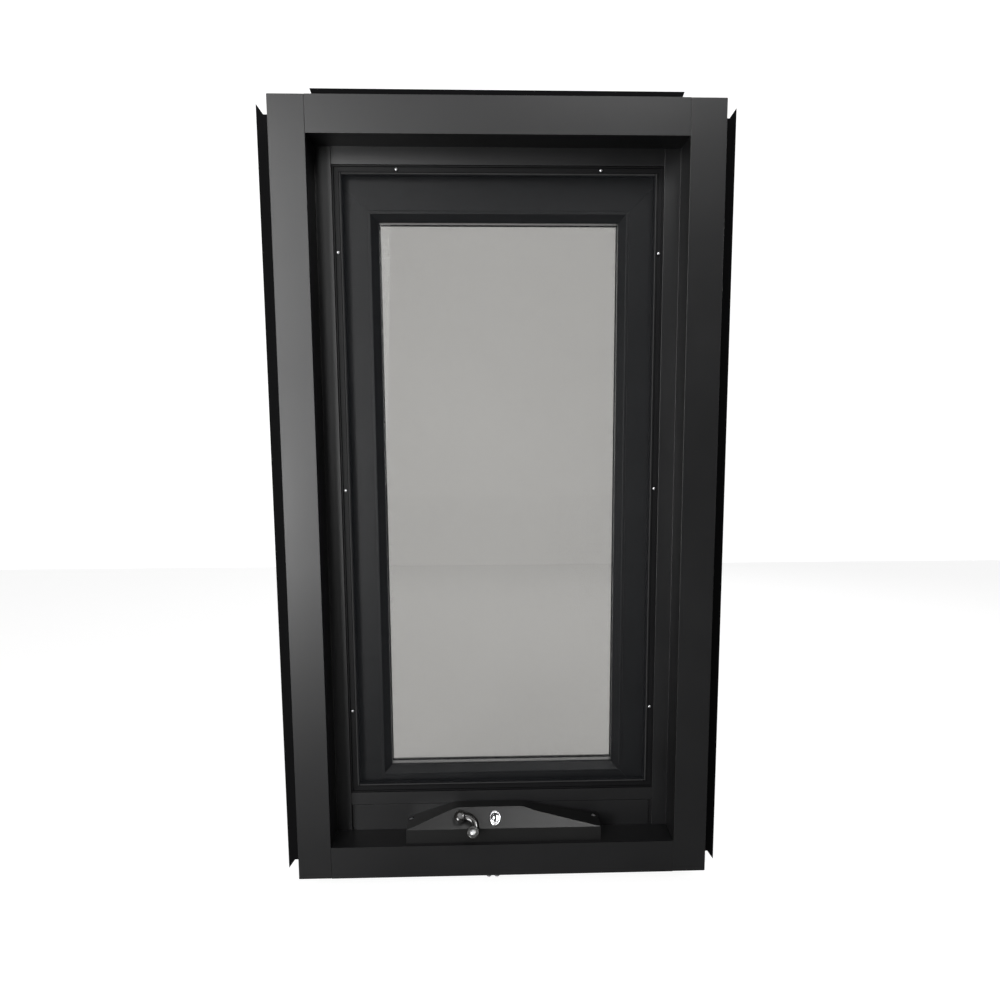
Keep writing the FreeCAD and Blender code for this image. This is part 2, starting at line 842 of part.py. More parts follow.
def make_cover():
    cover = new_body("winder_block", is_node=False)
    outline = new_sketch(cover, "XZ_Plane")
    draw_loop(outline, [
        (-size.cover_left, nothing),
        (-size.cover_left, size.cover_front_height),
        (-size.shoulder_left, size.cover_height),
        (size.shoulder_right, size.cover_height),
        (size.knee_right, size.knee_height),
        (size.cover_right, size.cover_front_height),
        (size.cover_right, nothing),
    ])
    block = pad(cover, outline, size.reveal_depth - size.cover_front_depth, reversed_pad=True)
    shoulders = (-size.shoulder_left.number, size.shoulder_right.number, size.knee_right.number)
    dress_edges(cover, block, "Fillet", size.shoulder_radius, lambda edge: edge.BoundBox.XLength < 0.1
                and edge.BoundBox.ZLength < 0.1
                and min(abs(edge.CenterOfMass.x - shoulder) for shoulder in shoulders) < 0.1)
    facet = new_sketch(cover, "YZ_Plane")
    spare = as_size(5)
    draw_loop(facet, [
        (-spare, size.cover_front_height),
        (nothing, size.cover_front_height),
        (size.facet_run, size.cover_height),
        (size.facet_run, size.cover_height + spare),
        (-spare, size.cover_height + spare),
    ])
    pocket_through(cover, facet)
    place(cover, nothing, at_depth(size.cover_front_depth), sill_shelf)
    beyond = as_size(5)
    bores = [
        facet_cylinder("spindle_bore", size.spindle_radius + size.running_gap,
                       -size.spindle_length, beyond, -size.hub_place, size.hub_up),
        facet_cylinder("lock_bore", size.plug_radius + size.running_gap,
                       -size.plug_depth, beyond, -size.lock_place, size.lock_up),
    ]
    for index, offset in enumerate((-screw_place, screw_place)):
        bores.append(cylinder(f"spot_face_{index}", size.screw_spot_radius, size.cover_height, offset,
                              at_depth(size.screw_depth), sill_shelf + size.screw_seat))
        bores.append(cylinder(f"screw_bore_{index}", size.screw_shank_radius + size.screw_clearance,
                              size.cover_height, offset, at_depth(size.screw_depth), sill_shelf - beyond))
    nodes["winder_cover"] = cut("winder_cover", cover, fuse("cover_bores", bores))


def make_winder_screws():
    screws = []
    for index, offset in enumerate((-screw_place, screw_place)):
        depth = at_depth(size.screw_depth)
        seat = sill_shelf + size.screw_seat
        head = cylinder(f"winder_screw_head_{index}", size.screw_head_radius, size.screw_head_height,
                        offset, depth, seat)
        shank = cylinder(f"winder_screw_shank_{index}", size.screw_shank_radius, size.screw_length,
                         offset, depth, seat - size.screw_length)
        screws.append(fuse(f"winder_screw_{index}", [head, shank]))
    group("winder_screws", screws)


def make_crank():
    across, up = -size.hub_place, size.hub_up
    arm_top = size.arm_lift + size.arm_thickness
    knob_across = across + size.arm_across
    knob_up = up - size.arm_down
    # The arm is part of a ring whose middle line runs from the hub to the knob.
    dx, dy, bulge = size.arm_across.number, -size.arm_down.number, size.arm_bulge.number
    chord = math.hypot(dx, dy)
    radius = (chord ** 2 / 4 + bulge ** 2) / (2 * bulge)
    lean = math.atan2(dx, -dy)
    sweep = 2 * math.asin(chord / 2 / radius)
    inward = radius - bulge
    centre = FreeCAD.Vector(dx / 2 - inward * math.cos(lean), dy / 2 - inward * math.sin(lean), 0)
    turn = FreeCAD.Rotation(FreeCAD.Vector(0, 0, 1), math.degrees(lean - sweep / 2))
    arm = new_body("crank_arm", is_node=False)
    section = new_sketch(arm, "XZ_Plane")
    half_arm = size.arm_width / 2
    draw_loop(section, box_loop(-half_arm + radius, nothing, half_arm + radius, size.arm_thickness))
    swept = arm.newObject("PartDesign::Revolution", "crank_arm_sweep")
    swept.Profile = section
    swept.ReferenceAxis = (section, ["V_Axis"])
    swept.Angle = math.degrees(sweep)
    dress_edges(arm, swept, "Chamfer", size.arm_edge, lambda edge: edge.Curve.TypeId == "Part::GeomCircle")
    arm.Placement = on_facet(across, up, size.arm_lift).multiply(FreeCAD.Placement(centre, turn))
    pieces = [
        domed_post("crank_hub", size.hub_radius, size.seat_gap, size.hub_height, size.hub_dome, 2,
                   across, up),
        facet_cylinder("spindle", size.spindle_radius, 1 - size.spindle_length, size.seat_gap, across, up),
        arm,
        domed_post("arm_boss", size.boss_radius, size.arm_lift, arm_top, size.arm_edge, 1,
                   knob_across, knob_up),
        facet_cylinder("knob_pin", size.knob_pin_radius, size.arm_lift + size.arm_edge,
                       arm_top + size.knob_height - size.knob_recess + size.seat_gap, knob_across, knob_up),
    ]
    nodes["crank"] = fuse("crank", pieces)
    make_knob(knob_across, knob_up, arm_top)


def make_knob(across, up, arm_top):
    knob = new_body("crank_knob")
    profile = new_sketch(knob, "XZ_Plane")
    bore = size.knob_pin_radius + size.running_gap
    high = size.knob_height - size.seat_gap
    floor = size.knob_height - size.knob_recess - size.seat_gap
    draw_loop(profile, [
        (bore, nothing),
        (size.knob_base_radius, nothing),
        (size.knob_base_radius, size.knob_neck),
        (size.knob_radius, size.knob_flare),
        (size.knob_radius, high - size.knob_edge),
        (size.knob_radius - size.knob_edge, high),
        (size.ring_outside, high),
        ((size.ring_outside + size.ring_inside) / 2, high - size.ring_depth),
        (size.ring_inside, high),
        (size.recess_radius, high),
        (size.recess_radius, floor),
        (bore, floor),
    ])
    spin = knob.newObject("PartDesign::Revolution", "knob_spin")
    spin.Profile = profile
    spin.ReferenceAxis = (profile, ["V_Axis"])
    spin.Angle = 360
    knob.Placement = on_facet(across, up, arm_top + size.seat_gap)
    pin_top = arm_top + size.knob_height - size.knob_recess + size.seat_gap
    head = facet_cylinder("knob_screw_head", size.knob_screw_radius, pin_top,
                          pin_top + size.knob_screw_height, across, up)
    slots = []
    for index, turned in enumerate((0, 90)):
        slot = doc.addObject("Part::Box", f"knob_screw_slot_{index}")
        bind(slot, "Length", size.knob_screw_radius * 1.2)
        bind(slot, "Width", size.cross_width)
        bind(slot, "Height", size.knob_screw_height)
        half_length = size.knob_screw_radius.number * 0.6
        corner = FreeCAD.Vector(-half_length, -size.cross_width.number / 2, 0)
        turn = FreeCAD.Rotation(FreeCAD.Vector(0, 0, 1), turned)
        seat = on_facet(across, up, pin_top + size.knob_screw_height - size.cross_depth)
        slot.Placement = seat.multiply(FreeCAD.Placement(turn.multVec(corner), turn))
        slots.append(slot)
    nodes["knob_screw"] = cut("knob_screw", head, fuse("knob_screw_cross", slots))


def make_lock():
    across, up = -size.lock_place, size.lock_up
    rosette = new_body("lock_rosette", is_node=False)
    outline = new_sketch(rosette, "XY_Plane")
    draw_oval(outline, size.lock_width, size.lock_length)
    blank = pad(rosette, outline, size.lock_rise)
    dress_edges(rosette, blank, "Chamfer", size.lock_edge,
                lambda edge: edge.BoundBox.ZMin > size.lock_rise.number / 2)
    rosette.Placement = on_facet(across, up)
    hole = facet_cylinder("rosette_hole", size.plug_radius + size.running_gap, -1, size.lock_rise + 1,
                          across, up)
    nodes["lock_housing"] = cut("lock_housing", rosette, hole)
    plug = facet_cylinder("plug_barrel", size.plug_radius, 1 - size.plug_depth, size.lock_rise, across, up)
    slot = doc.addObject("Part::Box", "key_slot")
    bind(slot, "Length", size.key_slot_width)
    bind(slot, "Width", size.key_slot_length)
    bind(slot, "Height", size.key_slot_depth + 1)
    slot.Placement = on_facet(across - size.key_slot_width / 2, up - size.key_slot_length / 2,
                              size.lock_rise - size.key_slot_depth)
    nodes["lock_plug"] = cut("lock_plug", plug, slot)


def make_chain():
    # Two rows of side plates on cross pins run from the cover to the bracket on the sash.
    height = sill_shelf + (size.slot_low + size.slot_high) / 2
    start = at_depth(size.reveal_depth)
    end = at_depth(size.chain_end_depth)
    pin = size.chain_pin_radius
    plates = []
    half = size.chain_half_width
    for index, x in enumerate((-half, half - size.chain_plate)):
        plates.append(box(f"chain_plate_{index}", x, start, height - size.chain_height / 2,
                          size.chain_plate, end - start + pin * 2, size.chain_height))
    roller = along_width("chain_roller", size.chain_roller_radius, half * 2 - size.chain_plate,
                         -half + size.chain_plate / 2, start + size.chain_roller_setback, height)
    hole = along_width("chain_end_hole", pin + size.running_gap, half * 4, -half * 2, end, height)
    nodes["winder_chain"] = cut("winder_chain", fuse("chain_links", plates + [roller]), hole)
    back = at_depth(size.sash_room_depth)
    base = box("bracket_base", -size.bracket_width / 2, back - size.bracket_thickness,
               height - size.bracket_drop, size.bracket_width, size.bracket_thickness, size.bracket_height)
    lugs = []
    lug_inner = half + size.lug_gap
    for index, x in enumerate((-lug_inner - size.lug_thickness, lug_inner)):
        lugs.append(box(f"bracket_lug_{index}", x, end - pin * 1.75, height - pin * 1.75,
                        size.lug_thickness, back - size.bracket_thickness - end + pin * 1.75, pin * 3.5))
    cross = along_width("bracket_pin", pin, (lug_inner + size.lug_thickness) * 2,
                        -lug_inner - size.lug_thickness, end, height)
    nodes["chain_bracket"] = fuse("chain_bracket", [base, *lugs, cross])


def make_stays():
    # A track on the jamb's leg and an arm on the sash, joined by two rivets across the gap.
    leg = sash_side - size.sash_gap
    top = frame_top - sash_top - size.stay_drop
    depth = at_depth(size.stay_depth)
    spare = size.sash_gap - size.stay_track - size.stay_arm
    for side, sign in (("left", -1), ("right", 1)):
        jamb = (half_width - leg) * sign
        track_x = jamb if sign < 0 else jamb - size.stay_track
        arm_x = jamb + size.stay_track + spare if sign < 0 else jamb - size.sash_gap
        rivet_x = jamb + size.stay_track / 2 if sign < 0 else jamb - size.sash_gap + size.stay_arm / 2
        low = top - size.stay_length
        pieces = [
            box(side + "_track", track_x, depth, low, size.stay_track, size.stay_width, size.stay_length),
            box(side + "_arm", arm_x, depth + size.stay_rivet_radius, low + size.stay_drop,
                size.stay_arm, size.stay_width - size.stay_rivet_radius * 2, size.stay_length * 0.8),
        ]
        for index, share in enumerate((0.2, 0.75)):
            pieces.append(along_width(f"{side}_stay_rivet_{index}", size.stay_rivet_radius,
                                      spare + size.stay_track / 2 + size.stay_arm / 2, rivet_x,
                                      depth + size.stay_width / 2, low + size.stay_length * share))
        nodes[side + "_stay"] = fuse(side + "_stay", pieces)


def make_sill_screws():
    heads = []
    for index, step in enumerate((-1, 1)):
        head = small_head(f"sill_screw_{index}", size.sill_screw_radius, size.sill_screw_height)
        place(head, -size.sill_screw_place + size.sill_screw_spread * step,
              at_depth(size.sill_screw_depth), frame_bottom - size.sill_screw_height)
        heads.append(head)
    group("sill_screws", heads)


make_frame()
make_winder_rail()
make_fins()
make_screen()
make_sash()
make_cover()
make_winder_screws()
make_crank()
make_lock()
make_chain()
make_stays()
make_sill_screws()

doc.recompute()

for thing in doc.Objects:
    if "Invalid" in thing.State or "Error" in thing.State:
        raise RuntimeError(f"{thing.Label} did not build: {thing.State}")
for name, thing in nodes.items():
    if thing.Shape.isNull() or not thing.Shape.isValid():
        raise RuntimeError(f"{name} has no valid shape")

os.makedirs("parts", exist_ok=True)
for name, thing in nodes.items():
    thing.Shape.exportStep(f"parts/{name}.step")
print(len(nodes), "sub-parts written")
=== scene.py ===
import json
import math

import bmesh
import bpy
from mathutils import Matrix, Vector

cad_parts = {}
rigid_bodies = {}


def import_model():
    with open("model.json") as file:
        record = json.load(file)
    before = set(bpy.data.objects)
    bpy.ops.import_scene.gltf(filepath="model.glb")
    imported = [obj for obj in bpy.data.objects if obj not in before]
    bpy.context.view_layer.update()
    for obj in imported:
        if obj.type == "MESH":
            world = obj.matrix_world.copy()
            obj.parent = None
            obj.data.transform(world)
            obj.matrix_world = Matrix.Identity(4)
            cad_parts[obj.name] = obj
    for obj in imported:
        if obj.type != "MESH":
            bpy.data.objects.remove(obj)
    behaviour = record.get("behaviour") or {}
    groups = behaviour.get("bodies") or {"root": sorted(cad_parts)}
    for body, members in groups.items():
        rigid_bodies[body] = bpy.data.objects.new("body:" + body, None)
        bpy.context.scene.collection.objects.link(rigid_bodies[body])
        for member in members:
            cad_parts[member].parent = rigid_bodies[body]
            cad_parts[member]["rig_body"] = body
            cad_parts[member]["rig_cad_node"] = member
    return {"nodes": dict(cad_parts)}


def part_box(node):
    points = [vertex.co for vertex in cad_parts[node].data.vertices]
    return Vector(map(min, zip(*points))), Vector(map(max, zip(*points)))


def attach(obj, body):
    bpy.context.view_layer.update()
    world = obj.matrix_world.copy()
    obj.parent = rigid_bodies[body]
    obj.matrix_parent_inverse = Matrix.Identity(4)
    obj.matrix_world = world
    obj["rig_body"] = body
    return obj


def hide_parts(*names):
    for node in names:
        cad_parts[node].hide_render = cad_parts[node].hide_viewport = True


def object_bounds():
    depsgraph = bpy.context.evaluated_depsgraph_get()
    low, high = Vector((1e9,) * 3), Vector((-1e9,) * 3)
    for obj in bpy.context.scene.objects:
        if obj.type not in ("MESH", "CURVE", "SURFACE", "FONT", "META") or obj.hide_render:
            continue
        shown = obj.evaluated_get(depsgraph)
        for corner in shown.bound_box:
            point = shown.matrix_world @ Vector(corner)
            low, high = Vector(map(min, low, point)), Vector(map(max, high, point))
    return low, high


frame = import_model()
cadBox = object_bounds()
scene = bpy.context.scene
millimetre = 0.001


# placing and selecting

def selectOnly(*pieces):
    if bpy.context.object and bpy.context.object.mode != "OBJECT":
        bpy.ops.object.mode_set(mode="OBJECT")
    bpy.ops.object.select_all(action="DESELECT")
    for piece in pieces:
        piece.select_set(True)
        bpy.context.view_layer.objects.active = piece


def edit(piece):
    selectOnly(piece)
    bpy.ops.object.mode_set(mode="EDIT")
    bpy.ops.mesh.select_all(action="SELECT")


def leaveEdit():
    bpy.ops.object.mode_set(mode="OBJECT")


def pick(piece, kind, test):
    # in edit mode: selects the faces or edges that pass the test
    bpy.ops.mesh.select_mode(type="FACE" if kind == "faces" else "EDGE")
    bpy.ops.mesh.select_all(action="DESELECT")
    mesh = bmesh.from_edit_mesh(piece.data)
    for item in getattr(mesh, kind):
        if test(item):
            item.select_set(True)
    mesh.select_flush_mode()
    bmesh.update_edit_mesh(piece.data)


def pickTop(piece):
    # the flat face that looks up, highest of all
    top = max(vertex.co.z for vertex in bmesh.from_edit_mesh(piece.data).verts)
    pick(piece, "faces", lambda face: face.normal.z > 0.9 and face.calc_center_median().z > top - 1e-6)


def nearEdge(edge, point, reach):
    return (sum((vertex.co for vertex in edge.verts), Vector()) / 2 - Vector(point)).length < reach


def useModifier(piece, kind, **settings):
    selectOnly(piece)
    modifier = piece.modifiers.new(kind, kind)
    for name, setting in settings.items():
        setattr(modifier, name, setting)
    bpy.ops.object.modifier_apply(modifier=modifier.name)


def cutWith(piece, cutter):
    useModifier(piece, "BOOLEAN", operation="DIFFERENCE", object=cutter, solver="EXACT")
    bpy.data.objects.remove(cutter)


def softenEdges(piece, width, segments=2, sharp=30):
    useModifier(piece, "BEVEL", width=width, segments=segments, limit_method="ANGLE",
                angle_limit=math.radians(sharp))


def joinAll(name, pieces):
    selectOnly(*pieces)
    if len(pieces) > 1:
        bpy.ops.object.join()
    joined = bpy.context.object
    joined.name = name
    joined.data.name = name
    return joined


def layDown(piece, matrix):
    # moves a piece that was modelled at the origin to its place, with its place in its mesh
    bpy.context.view_layer.update()
    piece.matrix_world = matrix @ piece.matrix_world
    selectOnly(piece)
    bpy.ops.object.transform_apply(location=True, rotation=True, scale=True)


def copyOfNodes(name, *nodeNames):
    # a merged copy of CAD nodes, with one face for each flat side
    copies = []
    for nodeName in nodeNames:
        selectOnly(frame["nodes"][nodeName])
        bpy.ops.object.duplicate()
        copied = bpy.context.object
        copied.parent = None
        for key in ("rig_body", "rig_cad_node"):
            del copied[key]
        copies.append(copied)
    piece = joinAll(name, copies)
    bpy.ops.mesh.customdata_custom_splitnormals_clear()
    piece.data.materials.clear()
    edit(piece)
    bpy.ops.mesh.remove_doubles(threshold=1e-6)
    bpy.ops.mesh.dissolve_limited(angle_limit=math.radians(0.5))
    leaveEdit()
    return piece


def finish(piece, body, material, nodes=(), smooth=35):
    selectOnly(piece)
    bpy.ops.object.transform_apply(location=True, rotation=True, scale=True)
    bpy.ops.object.shade_smooth_by_angle(angle=math.radians(smooth))
    useModifier(piece, "WEIGHTED_NORMAL", keep_sharp=True, weight=100)
    piece.data.materials.clear()
    piece.data.materials.append(material)
    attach(piece, body)
    if nodes:
        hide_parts(*nodes)
    return piece


# materials

class Signal:
    # a socket in a material: sums on it add Math nodes
    def __init__(self, tree, socket=None):
        self.tree = tree
        self.socket = socket

    def add(self, kind, settings, inputs, output=0):
        node = self.tree.nodes.new("ShaderNode" + kind)
        for name, setting in settings.items():
            if name == "stops":
                ramp = node.color_ramp
                while len(ramp.elements) < len(setting):
                    ramp.elements.new(0.5)
                for element, (place, shade) in zip(ramp.elements, setting):
                    element.position = place
                    element.color = (shade, shade, shade, 1) if isinstance(shade, float) else (*shade, 1)
            else:
                setattr(node, name, setting)
        for name, given in inputs.items():
            if isinstance(given, Signal):
                self.tree.links.new(given.socket, node.inputs[name])
            else:
                node.inputs[name].default_value = given
        return Signal(self.tree, node.outputs[output])

    def maths(self, operation, first, second):
        return self.add("Math", {"operation": operation}, {0: first, 1: second})

    def __add__(self, other):
        return self.maths("ADD", self, other)

    __radd__ = __add__

    def __sub__(self, other):
        return self.maths("SUBTRACT", self, other)

    def __rsub__(self, other):
        return self.maths("SUBTRACT", other, self)

    def __mul__(self, other):
        return self.maths("MULTIPLY", self, other)

    __rmul__ = __mul__

    def above(self, other):
        return self.maths("GREATER_THAN", self, other)

    def into(self, shader, name):
        self.tree.links.new(self.socket, shader.inputs[name])


def newMaterial(name, constants):
    material = bpy.data.materials.new(name)
    material.use_nodes = True
    shader = material.node_tree.nodes["Principled BSDF"]
    for socketName, value in constants.items():
        shader.inputs[socketName].default_value = value
    start = Signal(material.node_tree)
    place = start.add("TexCoord", {}, {}, "Object")
    return material, start, place, shader


def noise(start, place, scale, detail=3.0, rough=0.5):
    return start.add("TexNoise", {}, {"Vector": place, "Scale": scale, "Detail": detail, "Roughness": rough})


def blendColours(start, share, first, second):
    return start.add("Mix", {"data_type": "RGBA"}, {0: share, 6: (*first, 1), 7: (*second, 1)}, 2)


def bump(start, height, strength, distance):
    return start.add("Bump", {}, {"Height": height, "Strength": strength, "Distance": distance})


def powderCoat(name, look):
    # baked powder paint: fine orange peel, slow changes of gloss and a few specks of dust
    material, start, place, shader = newMaterial(name, {"Specular IOR Level": look["shine"]})
    peel = noise(start, place, look["peelScale"], 2.0)
    cloud = noise(start, place, look["cloudScale"], 4.0)
    speck = noise(start, place, look["speckScale"], 1.0).above(look["speckLimit"])
    share = cloud * 0.8 + speck * look["speckShare"]
    blendColours(start, share, look["dark"], look["light"]).into(shader, "Base Color")
    (cloud * look["roughSpread"] + look["roughness"] + peel * 0.05).into(shader, "Roughness")
    bump(start, peel, look["peelStrength"], look["peelDepth"]).into(shader, "Normal")
    return material


frameLook = {
    "dark": (0.002, 0.002, 0.0023),
    "light": (0.006, 0.006, 0.0066),
    "shine": 0.5,
    "roughness": 0.33,
    "roughSpread": 0.10,
    "peelScale": 1100.0,
    "peelStrength": 0.22,
    "peelDepth": 0.00012,
    "cloudScale": 9.0,
    "speckScale": 420.0,
    "speckLimit": 0.78,
    "speckShare": 1.5,
}
frameCoat = powderCoat("frameCoat", frameLook)
finCoat = powderCoat("finCoat", {
    **frameLook,
    "dark": (0.0015, 0.0015, 0.0017),
    "light": (0.0045, 0.0045, 0.005),
    "shine": 0.06,
    "roughness": 0.66,
    "roughSpread": 0.16,
})
sashCoat = powderCoat("sashCoat", {**frameLook, "roughness": 0.39, "cloudScale": 12.0})
screenCoat = powderCoat("screenCoat", {**frameLook, "shine": 0.16, "roughness": 0.40, "peelScale": 1500.0})
winderPaint = powderCoat("winderPaint", {
    **frameLook,
    "dark": (0.003, 0.003, 0.003),
    "light": (0.007, 0.007, 0.007),
    "shine": 0.42,
    "roughness": 0.31,
    "peelScale": 1600.0,
    "peelStrength": 0.15,
})


def glossPlastic():
    material, start, place, shader = newMaterial("crankGloss", {
        "Specular IOR Level": 0.5, "Coat Roughness": 0.04, "Coat Weight": 0.6})
    cloud = noise(start, place, 60.0, 3.0)
    scuff = noise(start, place, 500.0, 2.0)
    blendColours(start, cloud, (0.006, 0.006, 0.006), (0.016, 0.015, 0.014)).into(shader, "Base Color")
    (cloud * 0.08 + scuff * 0.06 + 0.10).into(shader, "Roughness")
    bump(start, scuff, 0.05, 0.0001).into(shader, "Normal")
    return material


def metal(name, look):
    # bare or plated metal: grain drawn out along one axis, and a cloudy gloss
    material, start, place, shader = newMaterial(name, {"Metallic": 1.0})
    drawn = start.add("Mapping", {}, {"Vector": place, "Scale": look["grain"]})
    grain = noise(start, drawn, 1.0, 4.0)
    cloud = noise(start, place, look["cloudScale"], 3.0)
    blendColours(start, grain * 0.5 + cloud * 0.5, look["dark"], look["light"]).into(shader, "Base Color")
    (grain * look["roughSpread"] + cloud * look["roughSpread"] + look["roughness"]).into(shader, "Roughness")
    bump(start, grain, look["grainStrength"], 0.00005).into(shader, "Normal")
    return material


steelLook = {
    "dark": (0.42, 0.42, 0.43),
    "light": (0.68, 0.68, 0.69),
    "grain": (900.0, 900.0, 120.0),
    "grainStrength": 0.2,
    "cloudScale": 140.0,
    "roughness": 0.25,
    "roughSpread": 0.16,
}
brightSteel = metal("brightSteel", steelLook)
lockChrome = metal("lockChrome", {**steelLook, "dark": (0.76, 0.76, 0.78), "light": (0.92, 0.92, 0.93),
                                  "grainStrength": 0.05, "roughness": 0.08, "roughSpread": 0.08})
spacerMetal = metal("spacerMetal", {**steelLook, "grain": (40.0, 1500.0, 40.0), "roughness": 0.3})


def sealRubber():
    material, start, place, shader = newMaterial("sealRubber", {"Specular IOR Level": 0.35})
    bloom = noise(start, place, 35.0, 5.0)
    grain = noise(start, place, 2600.0, 2.0)
    blendColours(start, bloom, (0.010, 0.010, 0.010), (0.030, 0.030, 0.031)).into(shader, "Base Color")
    (bloom * 0.15 + grain * 0.10 + 0.60).into(shader, "Roughness")
    bump(start, grain, 0.3, 0.00006).into(shader, "Normal")
    return material


def meshYarn():
    # coated glass yarn: a fine twist, a little dust and a soft sheen
    material, start, place, shader = newMaterial("meshYarn", {"Specular IOR Level": 0.12})
    twist = noise(start, place, 2400.0, 2.0)
    dust = noise(start, place, 26.0, 5.0)
    blendColours(start, twist * 0.4 + dust * 0.6, (0.006, 0.007, 0.008), (0.018, 0.019, 0.022)).into(
        shader, "Base Color")
    (twist * 0.12 + dust * 0.12 + 0.26).into(shader, "Roughness")
    bump(start, twist, 0.4, 0.00005).into(shader, "Normal")
    return material


def clearGlass():
    # float glass: nearly clear, with a slow ripple and a trace of dust
    material, start, place, shader = newMaterial("clearGlass", {
        "Transmission Weight": 1.0, "IOR": 1.45})
    ripple = noise(start, place, 3.0, 1.0)
    dust = noise(start, place, 300.0, 2.0)
    blendColours(start, dust, (0.855, 0.848, 0.832), (0.885, 0.878, 0.862)).into(shader, "Base Color")
    (dust * 0.01).into(shader, "Roughness")
    bump(start, ripple, 0.02, 0.001).into(shader, "Normal")
    return material


crankGloss = glossPlastic()
rubber = sealRubber()
yarn = meshYarn()
glass = clearGlass()
print("materials made")


# frame, fins, screen and sash

softParts = {
    # CAD nodes that keep their shape: edge radius, material and slot
    "left_jamb": (0.9, frameCoat, "frame_coat"),
    "right_jamb": (0.9, frameCoat, "frame_coat"),
    "head": (0.9, frameCoat, "frame_coat"),
    "sill": (0.9, frameCoat, "frame_coat"),
    "winder_rail": (0.4, frameCoat, "frame_coat"),
    "left_nail_fin": (0.3, finCoat, "fin_coat"),
    "right_nail_fin": (0.3, finCoat, "fin_coat"),
    "top_nail_fin": (0.3, finCoat, "fin_coat"),
    "bottom_nail_fin": (0.3, finCoat, "fin_coat"),
    "screen_frame_left": (0.4, screenCoat, "screen_frame_coat"),
    "screen_frame_top": (0.4, screenCoat, "screen_frame_coat"),
    "screen_frame_right": (0.4, screenCoat, "screen_frame_coat"),
    "screen_frame_bottom": (0.4, screenCoat, "screen_frame_coat"),
    "screen_spline": (1.2, rubber, "seal_rubber"),
    "sash_left_stile": (0.5, sashCoat, "sash_coat"),
    "sash_top_rail": (0.5, sashCoat, "sash_coat"),
    "sash_right_stile": (0.5, sashCoat, "sash_coat"),
    "sash_bottom_rail": (0.5, sashCoat, "sash_coat"),
    "bead_left": (0.5, sashCoat, "sash_coat"),
    "bead_top": (0.5, sashCoat, "sash_coat"),
    "bead_right": (0.5, sashCoat, "sash_coat"),
    "bead_bottom": (0.5, sashCoat, "sash_coat"),
    "sash_seal": (1.0, rubber, "seal_rubber"),
    "bead_gasket": (0.4, rubber, "seal_rubber"),
    "outer_gasket": (0.3, rubber, "seal_rubber"),
    "inner_glass": (0.7, glass, "clear_glass"),
    "outer_glass": (0.7, glass, "clear_glass"),
    "glass_spacer": (0.4, spacerMetal, "spacer_metal"),
    "winder_cover": (0.8, winderPaint, "winder_paint"),
    "winder_chain": (0.2, brightSteel, "bright_steel"),
    "chain_bracket": (0.3, brightSteel, "bright_steel"),
    "left_stay": (0.3, brightSteel, "bright_steel"),
    "right_stay": (0.3, brightSteel, "bright_steel"),
}
for nodeName, (radius, material, slotName) in softParts.items():
    piece = copyOfNodes(nodeName + "_piece", nodeName)
    softenEdges(piece, radius * millimetre)
    finish(piece, "window", material, [nodeName])
print("frame, sash and screen softened")


insectMesh = {
    "wireRadius": 0.13 * millimetre,
    "pitch": 1.20 * millimetre,
    "sides": 6,
}


def makeInsectMesh():
    low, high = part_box("insect_mesh")
    wire = insectMesh["wireRadius"]
    pitch = insectMesh["pitch"]
    middle = (low + high) / 2
    layers = []
    for along, across, depth in ((2, 0, low.y + wire), (0, 2, high.y - wire)):
        span = high[across] - low[across]
        count = int(span / pitch)
        place = middle.copy()
        place[across] -= (count - 1) * pitch / 2
        place.y = depth
        turn = (0, 0, 0) if along == 2 else (0, math.radians(90), 0)
        bpy.ops.mesh.primitive_cylinder_add(vertices=insectMesh["sides"], radius=wire,
                                            depth=high[along] - low[along], location=place, rotation=turn)
        layer = bpy.context.object
        layDown(layer, Matrix.Identity(4))
        step = Vector()
        step[across] = pitch
        useModifier(layer, "ARRAY", count=count, use_relative_offset=False, use_constant_offset=True,
                    constant_offset_displace=step)
        layers.append(layer)
    woven = joinAll("insectScreenMesh", layers)
    finish(woven, "window", yarn, ["insect_mesh"])


makeInsectMesh()
print("insect mesh woven")


# crank, knob, lock, screws and pins are modelled in millimetres, then laid in place

def turned(steps, sides=48):
    # a round piece about Z from its (radius, height) steps
    (radius, low), (nextRadius, high), *others = steps
    bpy.ops.mesh.primitive_cylinder_add(vertices=sides, radius=radius, depth=high - low,
                                        location=(0, 0, (low + high) / 2))
    piece = bpy.context.object
    layDown(piece, Matrix.Identity(4))
    edit(piece)
    pickTop(piece)
    bpy.ops.transform.resize(value=(nextRadius / radius, nextRadius / radius, 1), center_override=(0, 0, 0))
    for newRadius, height in others:
        bpy.ops.mesh.extrude_region_move(TRANSFORM_OT_translate={"value": (0, 0, height - high)})
        share = newRadius / nextRadius
        bpy.ops.transform.resize(value=(share, share, 1), center_override=(0, 0, 0))
        nextRadius, high = newRadius, height
    leaveEdit()
    return piece


def solidMiddles(nodeName):
    # lowest and highest corners of each separate solid in a CAD node
    piece = copyOfNodes("counted", nodeName)
    edit(piece)
    bpy.ops.mesh.separate(type="LOOSE")
    leaveEdit()
    corners = []
    for part in list(bpy.context.selected_objects):
        places = [vertex.co for vertex in part.data.vertices]
        corners.append([Vector(choose(place[axis] for place in places) for axis in range(3))
                        for choose in (min, max)])
        bpy.data.objects.remove(part)
    return corners


screwHead = {
    "radius": 3.6,
    "height": 2.2,
    "crossWidth": 0.9,
    "crossLength": 4.2,
    "crossDepth": 1.2,
}


